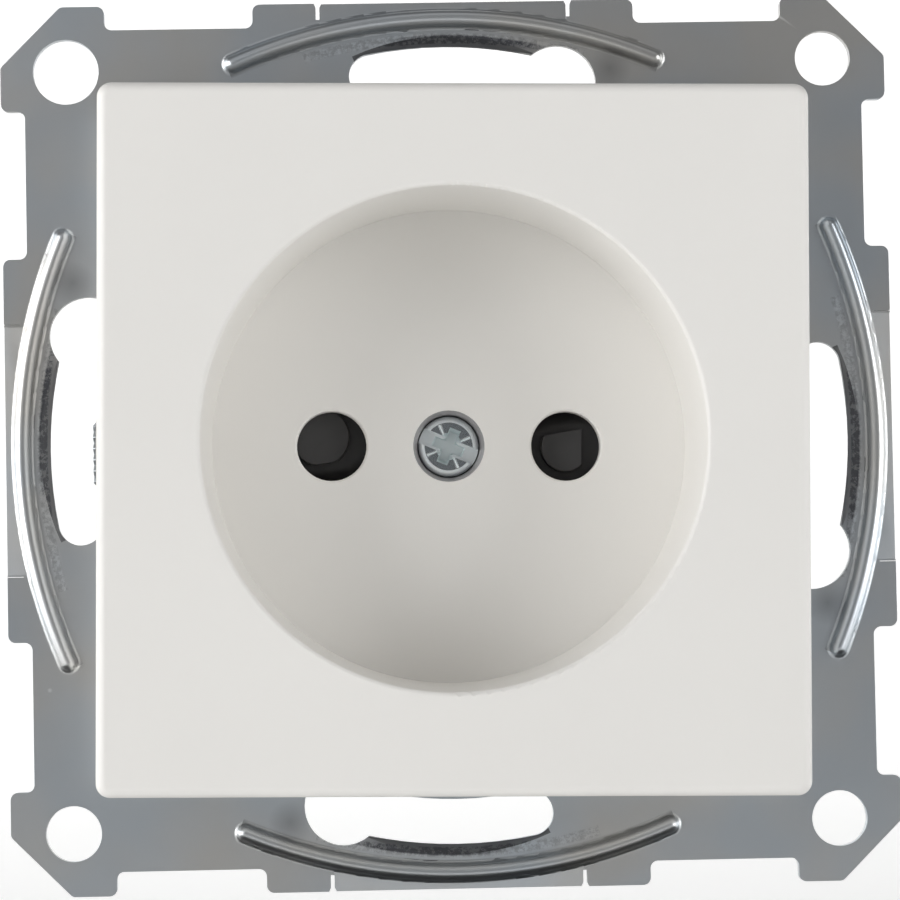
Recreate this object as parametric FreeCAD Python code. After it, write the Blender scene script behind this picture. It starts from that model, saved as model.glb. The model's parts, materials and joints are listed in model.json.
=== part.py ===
import FreeCAD, Part
import math
import os

from FreeCAD import Vector

# Flush two-pole socket insert with a round recess and no earth contacts, in millimetres.
# X runs to the right, Z up, and Y away from the viewer and into the wall.
# The origin is the centre of the wall plane, which is the support frame's rear face.

# Support frame: one sheet steel pressing, the same on all four sides
sheet = 1.0
frame_half = 35.3
frame_waist_depth = 1.9
mid_tab_half = 15.2
corner_tab_length = 3.5
corner_chamfer = 4.8
tab_rounding = 0.6
slit_place = 10.0
slit_width = 0.3
side_slit_width = 0.05
slit_depth = 1.3
slit_mouth = 0.6
tongue_length = 2.4
tongue_drop = 0.3
bead_radius = 43.0
bead_from_edge = 1.35
bead_half_angle = 23.0
bead_width = 1.9
bead_height = 0.85
bead_foot_radius = 0.3
bead_hollow_width = 1.1
bead_hollow_height = 0.7
bead_hollow_foot_radius = 0.1
box_screw_circle = 60.0
slot_width = 3.6
slot_start_angle = 11.1
slot_lobe_angle = 17.5
slot_lobe_radius = 3.1
coin_width = 0.75
coin_depth = 0.6
coin_half_angle = 13.0
coin_run_out = 14.3
corner_hole_from_edge = 4.96
corner_hole_large_from_edge = 5.2
corner_hole_radius = 2.2
corner_hole_large_radius = 2.6
frame_opening_margin = 1.1

# Cover plate: square face, skirt and round cup in one moulding
frame_margin = 7.8
cover_corner_radius = 1.1
cover_edge_radius = 0.8
cover_wall = 1.6
skirt_inner_radius = 0.5
cup_wall = 1.3
cover_front = -10.5
cover_to_frame = 0.3
cover_twist = 0.97
recess_mouth_radius = 19.5
recess_draft = 0.33
recess_mouth_rounding = 0.35
recess_depth = 15.0
floor_thickness = 2.0
pin_spacing = 19.0
pin_hole_radius = 2.825
pin_hole_break = 0.15
screw_well_radius = 2.925
screw_well_draft = 0.38
screw_well_draft_depth = 1.2
boss_wall = 1.575
screw_head_below_floor = 0.8
key_width = 3.0
key_depth = 0.9
key_play = 0.5
face_rib_thickness = 1.2
face_rib_height = 3.5

# Machine screws: a slot across a cross recess, as shares of the head where it differs in size
screw_slot_width = 1.3
screw_slot_depth = 0.8
cross_reach_share = 0.62
cross_width = 0.95
cross_depth = 1.3
cross_draft_share = 0.8
cross_core_share = 0.75
cross_tip_share = 0.35
tick_start_share = 0.36
tick_end_share = 0.78
tick_width = 0.3
head_edge_radius = 0.45
shank_point = 0.6
shank_point_share = 0.7

# Centre screw and nut
cover_screw_head_radius = 2.44
cover_screw_head_height = 2.0
cover_screw_radius = 1.5
cover_screw_length = 18.5
cover_screw_play = 0.1
cover_screw_slot_angle = 15.0
cover_screw_past_nut = 1.0
centre_nut_half = 2.7
centre_nut_thickness = 2.4
nut_corner_radius = 0.3

# Shutter: turns about the boss and carries a round pad, a ramp and a window for each pin
shutter_turn = 38.0
shutter_rim = 1.1
shutter_height = 4.5
shutter_hub_wall = 1.8
shutter_hub_cut_back = 0.8
shutter_front_gap = 0.2
pad_height = 1.0
pad_rounding = 0.2
left_pad_radius = 2.4
left_pad_shift_out = 0.93
left_pad_shift_down = 0.85
right_pad_radius = 2.05
right_pad_shift_out = 0.1
right_pad_flat = 1.4
window_radius = 3.0
window_wall = 0.4
ramp_start = 1.2
ramp_bend_radius = 3.0
ramp_angle = 43.5
ramp_lean = 9.5
spring_wire_radius = 0.225
spring_coil_gap = 0.05
spring_half_turns = 3
spring_leg = 1.2
spring_leg_play = 0.3

# Shutter guide plate and the pegs that hold it
guide_margin = 2.6
guide_thickness = 1.0
guide_gap = 1.2
peg_radius = 1.2
peg_from_edge = 2.0

# Contact cover and base
contact_cover_thickness = 2.0
pin_passage_radius = 3.0
pin_funnel = 0.6
base_side_wall = 1.2
base_corner_radius = 8.0
base_rear_rounding = 1.5
base_rear_wall = 3.0
base_pocket_wall = 1.6
cup_gap = 0.3
rivet_wall = 3.65
rivet_radius = 1.2
rivet_head_radius = 2.0
rivet_head_height = 0.7
rivet_crown_share = 0.7
rivet_rim_share = 0.4
rivet_length = 7.0
rivet_end_play = 0.5

# Contacts: a sprung sleeve for each pin, a web and a terminal foot, bent from brass strip
strip = 0.8
sleeve_inner_radius = 2.3
sleeve_length = 9.0
sleeve_split = 1.1
sleeve_flare = 0.5
web_width = 5.0
clip_strip = 0.4
clip_start = 2.0
clip_length = 4.5
clip_open_angle = 70.0
chamber_half_width = 5.1
chamber_top = 5.6
contact_front_gap = 1.4

# Terminals: a screw and a clamp plate for each pole, reached from below
terminal_foot_rise = 7.8
terminal_foot_thickness = 1.2
terminal_foot_half = 3.3
terminal_pocket_half = 4.5
terminal_headroom = 2.0
terminal_screw_back = 4.3
terminal_screw_radius = 1.75
terminal_head_radius = 3.0
terminal_head_height = 2.2
terminal_screw_length = 7.5
terminal_travel = 3.0
clamp_rest_gap = 0.2
clamp_thickness = 1.0
clamp_half = 4.0
clamp_lip = 0.6
clamp_lip_thickness = 0.5
wire_hole_radius = 1.8
wire_hole_spacing = 4.6
wire_funnel = 0.6

# Spreading claws: a nut runs along the claw screw and carries a toothed lever on its trunnions
claw_screw_from_base = 2.0
claw_screw_radius = 1.25
claw_screw_head_radius = 2.3
claw_screw_head_height = 2.2
claw_screw_length = 24.0
claw_head_clearance = 0.25
claw_shank_clearance = 0.2
claw_seat_depth = 1.2
wedge_depth = 4.9
wedge_nose = 6.5
wedge_end = 11.5
wedge_half_width = 4.6
claw_nut_gap = 0.3
claw_nut_width = 4.8
claw_nut_half_height = 3.0
claw_nut_length = 4.0
claw_pivot_y = 22.0
trunnion_radius = 1.0
claw_cheek_gap = 0.2
claw_cheek_thickness = 1.2
claw_cheek_radius = 1.6
claw_neck_share = 0.25
claw_sheet = 1.5
claw_lean = 3.35
claw_tip_y = 8.0
claw_web_start = 7.2
claw_shoulder = 2.0
claw_tip_width = 4.6
claw_tooth_depth = 0.25
claw_tooth_count = 5

# Fits, and how far a cut runs past its face and a joined shape into its neighbour
running_gap = 0.05
part_gap = 0.2
past = 1.0
lap = 0.5

# Places worked out from the sizes above
frame_waist_half = frame_half - frame_waist_depth
corner_tab_start = frame_half - corner_chamfer - corner_tab_length
bead_peak = frame_half - bead_from_edge
cover_half = frame_half - frame_margin
recess_floor_radius = recess_mouth_radius - recess_draft
base_opening_radius = recess_mouth_radius + cup_wall + cup_gap
base_half = base_opening_radius + base_side_wall
frame_opening_radius = base_opening_radius + frame_opening_margin
key_reach = base_opening_radius + key_depth
rivet_place = (base_opening_radius + rivet_wall) * math.sqrt(0.5)
cover_rear = -sheet - cover_to_frame
floor_front = cover_front + recess_depth
floor_rear = floor_front + floor_thickness
screw_head_top = floor_front + screw_head_below_floor
screw_seat = screw_head_top + cover_screw_head_height
pin_place = pin_spacing / 2
boss_radius = screw_well_radius + boss_wall
shutter_hub_radius = boss_radius + shutter_hub_wall
spring_coil_radius = (boss_radius + shutter_hub_radius) / 2 - spring_coil_gap
shutter_reach = pin_place + window_radius + shutter_rim
wing_margin = math.degrees(math.asin((window_radius + window_wall) / pin_place))
shutter_front = floor_rear + shutter_front_gap
shutter_rear = shutter_front + shutter_height
pad_rear = shutter_front + pad_height
hub_rear = shutter_rear - shutter_hub_cut_back
guide_front = shutter_rear + guide_gap
guide_rear = guide_front + guide_thickness
guide_radius = base_opening_radius - guide_margin
peg_place = guide_radius - peg_from_edge
contact_cover_front = guide_rear + part_gap
contact_cover_rear = contact_cover_front + contact_cover_thickness
contact_front = contact_cover_rear + contact_front_gap
contact_rear = contact_front + sleeve_length
base_rear = contact_rear + base_rear_wall
nut_seat = screw_seat + cover_screw_length - centre_nut_thickness - cover_screw_past_nut
terminal_foot_top = terminal_foot_rise - base_half
terminal_foot_bottom = terminal_foot_top - terminal_foot_thickness
terminal_screw_y = contact_rear - terminal_screw_back
clamp_top = terminal_foot_bottom - clamp_rest_gap - terminal_travel
clamp_bottom = clamp_top - clamp_thickness
claw_screw_place = base_half + claw_screw_from_base
wedge_reach = base_half + wedge_depth
claw_nut_inner = base_half + claw_nut_gap
claw_pivot_x = claw_nut_inner + claw_nut_width / 2
claw_tip_x = claw_pivot_x + claw_lean
origin = Vector(0, 0, 0)
inward = Vector(0, 1, 0)
upward = Vector(0, 0, 1)
four_corners = ((-1, 1), (1, 1), (1, -1), (-1, -1))
quarter_turns = (0, 90, 180, 270)
key_turns = (45, 225)


def post(radius, y0, y1, x=0.0, z=0.0):
    # Round bar along Y
    return Part.makeCylinder(radius, y1 - y0, Vector(x, y0, z), inward)


def taper(radius0, radius1, y0, y1, x=0.0, z=0.0):
    # Round bar along Y with a different radius at each end
    return Part.makeCone(radius0, radius1, y1 - y0, Vector(x, y0, z), inward)


def upright(radius, z0, z1, x=0.0, y=0.0):
    # Round bar along Z
    return Part.makeCylinder(radius, z1 - z0, Vector(x, y, z0), upward)


def block(x0, x1, y0, y1, z0, z1):
    return Part.makeBox(x1 - x0, y1 - y0, z1 - z0, Vector(x0, y0, z0))


def spun(shape, angle):
    # Copy turned about Y, clockwise as the viewer sees it
    return shape.rotated(origin, inward, angle)


def mirrored(shape):
    # Copy on the other side of the plane X = 0
    return shape.mirror(origin, Vector(1, 0, 0))


def rounded_wire(corners, y):
    # Closed outline at depth y; each corner is x, z and its own radius
    rounds = []
    count = len(corners)
    for i in range(count):
        here = Vector(corners[i][0], y, corners[i][1])
        before = Vector(corners[i - 1][0], y, corners[i - 1][1])
        after = Vector(corners[(i + 1) % count][0], y, corners[(i + 1) % count][1])
        radius = corners[i][2]
        if radius == 0:
            rounds.append((here, None, here))
            continue
        back = (before - here).normalize()
        ahead = (after - here).normalize()
        half = back.getAngle(ahead) / 2
        reach = radius / math.tan(half)
        centre = here + (back + ahead).normalize() * (radius / math.sin(half))
        middle = centre + (here - centre).normalize() * radius
        rounds.append((here + back * reach, middle, here + ahead * reach))
    edges = []
    for i in range(count):
        first, middle, last = rounds[i]
        if middle:
            edges.append(Part.Arc(first, middle, last).toShape())
        following = rounds[(i + 1) % count][0]
        if last.distanceToPoint(following) > 1e-6:
            edges.append(Part.makeLine(last, following))
    return Part.Wire(edges)


def plate(corners, y0, y1):
    return Part.Face(rounded_wire(corners, y0)).extrude(Vector(0, y1 - y0, 0))


def rectangle(half_x, half_z, radius):
    return [(-half_x, -half_z, radius), (-half_x, half_z, radius),
            (half_x, half_z, radius), (half_x, -half_z, radius)]


def square(half, radius, y0, y1):
    return plate(rectangle(half, half, radius), y0, y1)


def turned(profile):
    # Solid of revolution about Y from radius and depth points
    points = [Vector(radius, y, 0) for radius, y in profile]
    face = Part.Face(Part.makePolygon(points + points[:1]))
    return face.revolve(origin, inward, 360)


def side_profile(points, z0, z1):
    # Prism along Z from points in the X-Y plane
    corners = [Vector(x, y, z0) for x, y in points]
    face = Part.Face(Part.makePolygon(corners + corners[:1]))
    return face.extrude(Vector(0, 0, z1 - z0))


def ring_sector(inner, outer, y0, y1, start, end):
    # Part of a ring between two angles, counted clockwise from the top
    blank = post(outer, y0, y1).cut(post(inner, y0 - past, y1 + past))
    half = math.radians((end - start) / 2)
    reach = 2 * outer
    front = y0 - past
    wedge = Part.makePolygon([
        Vector(0, front, 0),
        Vector(-reach * math.sin(half), front, reach * math.cos(half)),
        Vector(0, front, reach / math.cos(half)),
        Vector(reach * math.sin(half), front, reach * math.cos(half)),
        Vector(0, front, 0)])
    wedge = Part.Face(wedge).extrude(Vector(0, y1 - y0 + 2 * past, 0))
    return blank.common(spun(wedge, (start + end) / 2))


def frame_side():
    # Outline of the top side, from one corner chamfer to the next
    r = tab_rounding
    left = [
        (corner_chamfer - frame_half, frame_half, r),
        (-corner_tab_start, frame_half, r),
        (-corner_tab_start, frame_waist_half, r),
        (-mid_tab_half, frame_waist_half, r),
        (-mid_tab_half, frame_half, r)]
    right = [(-x, z, radius) for x, z, radius in reversed(left)]
    return left + right


def frame_outline():
    corners = []
    for turn in quarter_turns:
        angle = math.radians(turn)
        for x, z, radius in frame_side():
            corners.append((
                x * math.cos(angle) + z * math.sin(angle),
                z * math.cos(angle) - x * math.sin(angle),
                radius))
    return corners


def ridge_section(width, height, foot_radius, base_y):
    # Section of a ridge that stands towards the viewer, with hollow feet, and its right half
    half = width / 2
    reach = (half * half + height * height) / (2 * height)
    radius = reach - foot_radius
    lean = math.atan2(half, foot_radius - height + radius)

    def at(across, up):
        return Vector(0, base_y - up, bead_peak + across)

    def crown_point(angle):
        return at(radius * math.sin(angle), height - radius + radius * math.cos(angle))

    def foot_point(angle):
        return at(half - foot_radius * math.sin(angle), foot_radius - foot_radius * math.cos(angle))

    def other(point):
        return Vector(0, point.y, 2 * bead_peak - point.z)

    foot = at(half, 0)
    foot_arc = [foot_point(lean), foot_point(lean / 2), foot]
    crown_arc = [crown_point(0), crown_point(lean / 2), crown_point(lean)]
    whole = [
        Part.Arc(*foot_arc).toShape(), Part.makeLine(foot, other(foot)),
        Part.Arc(*[other(point) for point in reversed(foot_arc)]).toShape(),
        Part.Arc(other(crown_point(lean)), crown_point(0), crown_point(lean)).toShape()]
    right = [
        Part.Arc(*crown_arc).toShape(), Part.Arc(*foot_arc).toShape(),
        Part.makeLine(foot, at(0, 0)), Part.makeLine(at(0, 0), crown_point(0))]
    return Part.Face(Part.Wire(whole)), Part.Face(Part.Wire(right))


def ridge(width, height, foot_radius, base_y):
    # Ridge along the bead's arc, with domed ends
    centre = Vector(0, 0, bead_peak - bead_radius)
    whole, right = ridge_section(width, height, foot_radius, base_y)
    body = whole.rotated(centre, inward, -bead_half_angle).revolve(centre, inward, 2 * bead_half_angle)
    dome = right.revolve(Vector(0, base_y, bead_peak), inward, 360)
    for end in (-bead_half_angle, bead_half_angle):
        body = body.fuse(dome.rotated(centre, inward, end))
    return body.removeSplitter()


def box_screw_slot():
    # Arc slot on the box screw circle, with a round lobe at its clockwise end
    radius = box_screw_circle / 2
    half = slot_width / 2
    front = -sheet - past
    slot = ring_sector(radius - half, radius + half, front, past, -slot_start_angle, slot_lobe_angle)
    for angle, round_radius in ((-slot_start_angle, half), (slot_lobe_angle, slot_lobe_radius)):
        x = radius * math.sin(math.radians(angle))
        z = radius * math.cos(math.radians(angle))
        slot = slot.fuse(post(round_radius, front, past, x, z))
    return slot


def coined_edge():
    # Sloping edge pressed along the outside of the slot. Its arc is tighter than the slot's, so it runs out
    # to nothing at both ends.
    outer = box_screw_circle / 2 + slot_width / 2
    inner = outer - lap
    front = -sheet - past
    bottom = -sheet + coin_depth * (1 + lap / coin_width)
    points = [(inner, front), (outer + coin_width, front), (outer + coin_width, -sheet), (inner, bottom)]
    face = Part.Face(Part.makePolygon([Vector(0, y, r) for r, y in points + points[:1]]))
    centre = Vector(0, 0, coin_run_out)
    turn = coin_half_angle * outer / (outer - coin_run_out)
    return face.rotated(centre, inward, -turn).revolve(centre, inward, 2 * turn)


def slit(x, width):
    # Thin slit from the tab's edge, with a small open mouth where it is wide enough to need one
    half = width / 2
    mouth = slit_mouth / slit_width * half
    bottom = frame_half - slit_depth
    top = frame_half + past
    outline = [(half, bottom), (half, frame_half - mouth), (mouth, frame_half), (mouth, top)]
    corners = [(x - across, z, 0) for across, z in outline]
    corners += [(x + across, z, 0) for across, z in reversed(outline)]
    return plate(corners, -sheet - past, past)


def tongue_slope():
    # The tab between the slits falls away towards its edge
    start = frame_half - tongue_length
    end = frame_half + lap
    reach = slit_place - slit_width / 2
    fall = tongue_drop * (end - start) / tongue_length
    points = [Vector(-reach, -sheet, start), Vector(-reach, -sheet - past, start),
              Vector(-reach, -sheet - past, end), Vector(-reach, -sheet + fall, end)]
    return Part.Face(Part.makePolygon(points + points[:1])).extrude(Vector(2 * reach, 0, 0))


def frame_hole(radius, x, z):
    return post(radius, -sheet - past, past, x, z)


def support_frame():
    body = plate(frame_outline(), -sheet, 0)
    for turn in quarter_turns:
        body = body.cut(spun(tongue_slope(), turn))
    for turn in quarter_turns:
        body = body.fuse(spun(ridge(bead_width, bead_height, bead_foot_radius, -sheet), turn))
    cuts = [frame_hole(frame_opening_radius, 0, 0)]
    for turn in quarter_turns:
        width = slit_width if turn in (0, 180) else side_slit_width
        for cut in (box_screw_slot(), coined_edge(), slit(-slit_place, width), slit(slit_place, width),
                    ridge(bead_hollow_width, bead_hollow_height, bead_hollow_foot_radius, 0)):
            cuts.append(spun(cut, turn))
    for x, z in four_corners:
        radius = corner_hole_radius
        place = frame_half - corner_hole_from_edge
        if (x, z) == four_corners[0]:
            radius = corner_hole_large_radius
            place = frame_half - corner_hole_large_from_edge
        cuts.append(frame_hole(radius, x * place, z * place))
        cuts.append(frame_hole(rivet_radius + running_gap, x * rivet_place, z * rivet_place))
    for side in (-1, 1):
        cuts.append(frame_hole(claw_screw_head_radius + claw_head_clearance, side * claw_screw_place, 0))
    return body.cut(Part.makeCompound(cuts))


def frame_rivets():
    head_front = -sheet - rivet_head_height
    head_rim = -sheet - rivet_head_height * rivet_rim_share
    head = turned([
        (0, head_front), (rivet_head_radius * rivet_crown_share, head_front),
        (rivet_head_radius, head_rim), (rivet_head_radius, -sheet), (0, -sheet)])
    rivet = head.fuse(post(rivet_radius, -sheet, rivet_length)).removeSplitter()
    rivets = []
    for x, z in four_corners:
        rivets.append(rivet.translated(Vector(x * rivet_place, 0, z * rivet_place)))
    return Part.makeCompound(rivets)


def recess_space():
    # The plug's recess with its rounded mouth
    r = recess_mouth_rounding
    turn = r * (1 - math.sqrt(0.5))
    front = cover_front - past
    rim = Vector(recess_mouth_radius + r, cover_front, 0)
    middle = Vector(recess_mouth_radius + turn, cover_front + turn, 0)
    wall = Vector(recess_mouth_radius, cover_front + r, 0)
    top = Vector(recess_mouth_radius + r, front, 0)
    corner = Vector(recess_floor_radius, floor_front, 0)
    edges = [
        Part.makeLine(Vector(0, front, 0), top),
        Part.makeLine(top, rim),
        Part.Arc(rim, middle, wall).toShape(),
        Part.makeLine(wall, corner),
        Part.makeLine(corner, Vector(0, floor_front, 0)),
        Part.makeLine(Vector(0, floor_front, 0), Vector(0, front, 0))]
    return Part.Face(Part.Wire(edges)).revolve(origin, inward, 360)


def cover_keys():
    # Two ribs on the cup that slide in grooves of the base
    cup = recess_floor_radius + cup_wall / 2
    keys = []
    for turn in key_turns:
        key = block(-key_width / 2, key_width / 2, cover_rear, floor_front, cup, key_reach)
        keys.append(spun(key, turn))
    return keys


def face_rib(reach):
    # Short rib behind the face that ties the cup to the skirt
    face_rear = cover_front + cover_wall
    half = face_rib_thickness / 2
    cup = recess_mouth_radius + cup_wall / 2
    return block(-half, half, face_rear - lap, face_rear + face_rib_height, cup, reach)


def face_ribs():
    straight = cover_half - cover_wall / 2
    diagonal = straight * math.sqrt(2) - cover_corner_radius
    ribs = []
    for turn in quarter_turns:
        ribs.append(spun(face_rib(straight), turn))
        ribs.append(spun(face_rib(diagonal), turn + 45))
    return ribs


def cover_plate():
    shell = square(cover_half, cover_corner_radius, cover_front, cover_rear)
    front_edges = [edge for edge in shell.Edges if edge.BoundBox.YMax < cover_front + running_gap]
    shell = shell.makeFillet(cover_edge_radius, front_edges)
    inside = square(cover_half - cover_wall, skirt_inner_radius, cover_front + cover_wall, cover_rear + past)
    shell = shell.cut(inside)
    cup = taper(recess_mouth_radius + cup_wall, recess_floor_radius + cup_wall,
                cover_front + cover_wall / 2, floor_rear)
    body = shell.fuse([cup] + cover_keys() + face_ribs())
    body = body.cut(recess_space())
    body = body.fuse(post(boss_radius, floor_rear - floor_thickness / 2, contact_cover_front))
    for side in (-1, 1):
        body = body.fuse(post(peg_radius, floor_rear - lap, guide_rear, 0, side * peg_place))
        body = body.cut(post(pin_hole_radius, floor_front - past, floor_rear + past, side * pin_place))
        broken_edge = taper(pin_hole_radius + 2 * pin_hole_break, pin_hole_radius,
                            floor_front - pin_hole_break, floor_front + pin_hole_break, side * pin_place)
        body = body.cut(broken_edge)
    # The screw's well narrows to the head's own size
    narrow = screw_well_radius - screw_well_draft
    well_mouth = taper(screw_well_radius, narrow, floor_front, floor_front + screw_well_draft_depth)
    above = post(screw_well_radius, floor_front - past, floor_front)
    body = body.cut([above, well_mouth, post(narrow, floor_front, screw_seat)])
    body = body.cut(post(cover_screw_radius + cover_screw_play, screw_seat - lap, contact_cover_front + past))
    return body.removeSplitter()


def cross_arm(reach, above, end):
    # One pair of arms of a cross recess, narrower at the bottom
    mouth = rounded_wire(rectangle(reach, cross_width / 2, 0), above)
    share = cross_draft_share
    bottom = rounded_wire(rectangle(reach * share, cross_width / 2 * share, 0), end)
    return Part.makeLoft([mouth, bottom], True, True)


def machine_screw(head_radius, head_height, radius, length, slot_angle):
    # Screw along Y with its head's seat at Y = 0, a slot and a cross recess with its tick marks
    head = post(head_radius, -head_height, 0)
    rim = [edge for edge in head.Edges if edge.BoundBox.YMax < -head_height + running_gap]
    head = head.makeFillet(head_edge_radius, rim)
    shank = turned([
        (0, 0), (radius, 0), (radius, length - shank_point),
        (radius - shank_point * shank_point_share, length), (0, length)])
    half = screw_slot_width / 2
    reach = head_radius * cross_reach_share
    above = -head_height - running_gap
    cross_end = -head_height + cross_depth
    slot = block(-2 * head_radius, 2 * head_radius, above, -head_height + screw_slot_depth, -half, half)
    arm = cross_arm(reach, above, cross_end)
    cuts = slot.fuse([
        arm, spun(arm, 90), taper(reach * cross_core_share, reach * cross_tip_share, above, cross_end)])
    # The tick marks are square bars sunk corner first
    bar = tick_width * math.sqrt(0.5) / 2
    tick = block(head_radius * tick_start_share, head_radius * tick_end_share, -bar, bar, -bar, bar)
    tick = tick.rotated(origin, Vector(1, 0, 0), 45).translated(Vector(0, -head_height, 0))
    for turn in quarter_turns:
        cuts = cuts.fuse(spun(tick, turn + 45))
    return head.fuse(shank).removeSplitter().cut(spun(cuts, slot_angle))


def cover_screw():
    screw = machine_screw(cover_screw_head_radius, cover_screw_head_height, cover_screw_radius,
                          cover_screw_length, cover_screw_slot_angle)
    return screw.translated(Vector(0, screw_seat, 0))


def centre_nut():
    rear = nut_seat + centre_nut_thickness
    nut = square(centre_nut_half, nut_corner_radius, nut_seat, rear)
    return nut.cut(post(cover_screw_radius + running_gap, nut_seat - past, rear + past))


def shutter_pad(radius, x, z):
    # Round pad that stands towards the pin hole
    pad = post(radius, shutter_front, shutter_rear - lap, x, z)
    rim = [edge for edge in pad.Edges if edge.BoundBox.YMax < shutter_front + running_gap]
    return pad.makeFillet(pad_rounding, rim)


def ramp_space():
    # Space above the ramp, which bends down from the wing's face towards the window
    angle = math.radians(ramp_angle)
    bend = [
        Vector(0, pad_rear + ramp_bend_radius * (1 - math.cos(share * angle)),
               ramp_start + ramp_bend_radius * math.sin(share * angle)) for share in (0, 0.5, 1)]
    bottom = shutter_rear + part_gap
    low = Vector(0, bottom, bend[2].z + (bottom - bend[2].y) / math.tan(angle))
    above = shutter_front - past
    corners = [bend[2], low, Vector(0, above, low.z), Vector(0, above, ramp_start), bend[0]]
    edges = [Part.Arc(*bend).toShape()]
    edges += [Part.makeLine(first, last) for first, last in zip(corners, corners[1:])]
    space = Part.Face(Part.Wire(edges)).extrude(Vector(2 * window_radius, 0, 0))
    space = space.translated(Vector(pin_place - window_radius, 0, 0))
    return space.rotated(Vector(pin_place, 0, 0), inward, -ramp_lean)


def shutter_wing(pad):
    # Wing in front of the right-hand pin hole, with its pad, its ramp and its window
    wing = ring_sector(shutter_hub_radius - lap, shutter_reach, pad_rear, shutter_rear,
                       90 - shutter_turn - wing_margin, 90 + wing_margin)
    turn = math.radians(shutter_turn)
    window = post(window_radius, shutter_front - past, shutter_rear + past,
                  pin_place * math.cos(turn), pin_place * math.sin(turn))
    return wing.fuse(pad).cut([ramp_space(), window])


def spring_leg_hole(y0, y1, side):
    return post(spring_wire_radius + running_gap, y0, y1, side * spring_coil_radius)


def shutter():
    # The left pad is a full disc and the right one has a flat on its outer side
    hub = post(shutter_hub_radius, shutter_front, hub_rear)
    right_pad = shutter_pad(right_pad_radius, pin_place + right_pad_shift_out, 0)
    right_pad = right_pad.common(block(0, pin_place + right_pad_flat, shutter_front, shutter_rear,
                                       -right_pad_radius, right_pad_radius))
    left_pad = shutter_pad(left_pad_radius, pin_place + left_pad_shift_out, -left_pad_shift_down)
    body = hub.fuse([shutter_wing(right_pad), spun(shutter_wing(left_pad), 180)])
    body = body.cut(post(boss_radius + running_gap, shutter_front - past, shutter_rear + past))
    body = body.cut(post(shutter_hub_radius, hub_rear, shutter_rear + past))
    leg_hole = spring_leg_hole(hub_rear - spring_leg - spring_leg_play, hub_rear + past, 1)
    return body.cut(leg_hole).removeSplitter()


def shutter_spring():
    # Torsion spring about the boss, with one end in the shutter and the other in the guide.
    # Each half turn is a half ring, tilted so that it climbs one step.
    front = hub_rear + spring_wire_radius + part_gap
    rear = guide_front - spring_wire_radius - part_gap
    step = (rear - front) / spring_half_turns
    tilt = math.degrees(math.asin(step / (2 * spring_coil_radius)))
    circle = Part.Circle(Vector(spring_coil_radius, 0, 0), upward, spring_wire_radius)
    half_ring = Part.Face(Part.Wire(circle.toShape())).revolve(origin, inward, 180)
    half_ring = half_ring.rotated(origin, upward, -tilt)
    end_x = spring_coil_radius * math.cos(math.radians(tilt))
    last_x = end_x * (-1) ** spring_half_turns
    pieces = [
        post(spring_wire_radius, hub_rear - spring_leg, front, end_x),
        post(spring_wire_radius, rear, guide_rear - part_gap, last_x),
        Part.makeSphere(spring_wire_radius, Vector(end_x, front, 0)),
        Part.makeSphere(spring_wire_radius, Vector(last_x, rear, 0))]
    for i in range(1, spring_half_turns):
        pieces.append(spun(half_ring, 180 * i).translated(Vector(0, front + (i + 0.5) * step, 0)))
    return half_ring.translated(Vector(0, front + step / 2, 0)).fuse(pieces)


def shutter_guide():
    # Disc behind the shutter, held by the cover's two pegs
    front = guide_front - past
    rear = guide_rear + past
    disc = post(guide_radius, guide_front, guide_rear)
    cuts = [post(boss_radius + part_gap, front, rear)]
    for side in (-1, 1):
        cuts.append(post(pin_passage_radius + part_gap, front, rear, side * pin_place))
        cuts.append(post(peg_radius + running_gap, front, rear, 0, side * peg_place))
    cuts.append(spring_leg_hole(front, rear, (-1) ** spring_half_turns))
    return disc.cut(Part.makeCompound(cuts))


def contact_cover():
    front = contact_cover_front
    rear = contact_cover_rear
    disc = post(base_opening_radius - part_gap, front, rear)
    for turn in key_turns:
        lug = block(-key_width / 2, key_width / 2, front, rear, base_opening_radius - past, key_reach)
        disc = disc.fuse(spun(lug, turn))
    cuts = [post(cover_screw_radius + part_gap, front - past, rear + past)]
    for side in (-1, 1):
        x = side * pin_place
        cuts.append(post(pin_passage_radius, front - past, rear + past, x))
        cuts.append(taper(pin_passage_radius + 2 * pin_funnel, pin_passage_radius,
                          front - pin_funnel, front + pin_funnel, x))
    return disc.cut(Part.makeCompound(cuts)).removeSplitter()


def claw_wedge():
    # Ledge for the claw screw's head on the base's side, and the wedge that spreads the claw
    inside = base_half - past
    profile = [
        (inside, claw_seat_depth), (wedge_reach, claw_seat_depth), (wedge_reach, wedge_nose),
        (base_half, wedge_end), (inside, wedge_end)]
    return side_profile(profile, -wedge_half_width, wedge_half_width)


def contact_spaces():
    # Chamber for the right-hand contact, its terminal pocket, and a lightening pocket opposite
    left = pin_place - chamber_half_width
    right = pin_place + chamber_half_width
    pocket_left = pin_place - terminal_pocket_half
    pocket_right = pin_place + terminal_pocket_half
    pocket_front = contact_cover_rear + base_pocket_wall
    pocket_top = terminal_foot_top + terminal_headroom
    upper_floor = chamber_top + 2 * base_pocket_wall
    outside = base_half + past
    spaces = [
        block(left, right, contact_cover_rear - past, contact_rear, pocket_top - lap, chamber_top),
        block(pocket_left, pocket_right, pocket_front, contact_rear, -outside, pocket_top),
        block(pocket_left, pocket_right, pocket_front, contact_rear, upper_floor, outside)]
    wire_z = (terminal_foot_bottom + clamp_top) / 2
    for shift in (-0.5, 0.5):
        x = pin_place + shift * wire_hole_spacing
        spaces.append(post(wire_hole_radius, contact_rear - past, base_rear + past, x, wire_z))
        spaces.append(taper(wire_hole_radius, wire_hole_radius + 2 * wire_funnel,
                            base_rear - wire_funnel, base_rear + wire_funnel, x, wire_z))
    return spaces


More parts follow.
